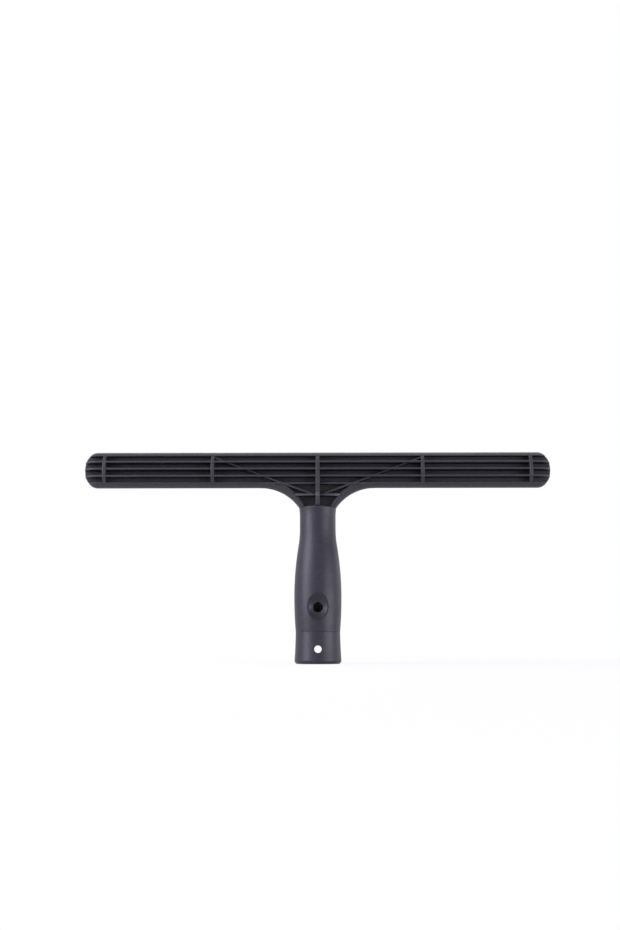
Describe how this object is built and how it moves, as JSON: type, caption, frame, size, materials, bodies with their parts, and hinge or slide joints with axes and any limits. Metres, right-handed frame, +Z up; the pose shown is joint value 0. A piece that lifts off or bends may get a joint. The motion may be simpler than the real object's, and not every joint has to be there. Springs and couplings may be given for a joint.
{
  "type": "window scrubber",
  "caption": "Charcoal plastic window scrubber T-bar: a ribbed bar with domed ends on a curved gusset, set in a swelling hollow handle with a dished lock hole and an open pole socket",
  "frame": {"origin": "centre of the handle's open lower end", "axes": "+X along the bar, +Y to the back, +Z up from the handle's open end to the bar"},
  "size_m": [0.35, 0.035, 0.1571],
  "materials": {
    "head_plastic": "moulded, fine grain",
    "grip_plastic": "moulded, satin",
    "collar_plastic": "moulded, satin",
    "socket_plastic": "moulded, plain"
  },
  "bodies": {
    "root": {"t_bar_head": "head_plastic", "handle_grip": "grip_plastic", "end_collar": "collar_plastic", "pole_socket": "socket_plastic"}
  },
  "joints": []
}
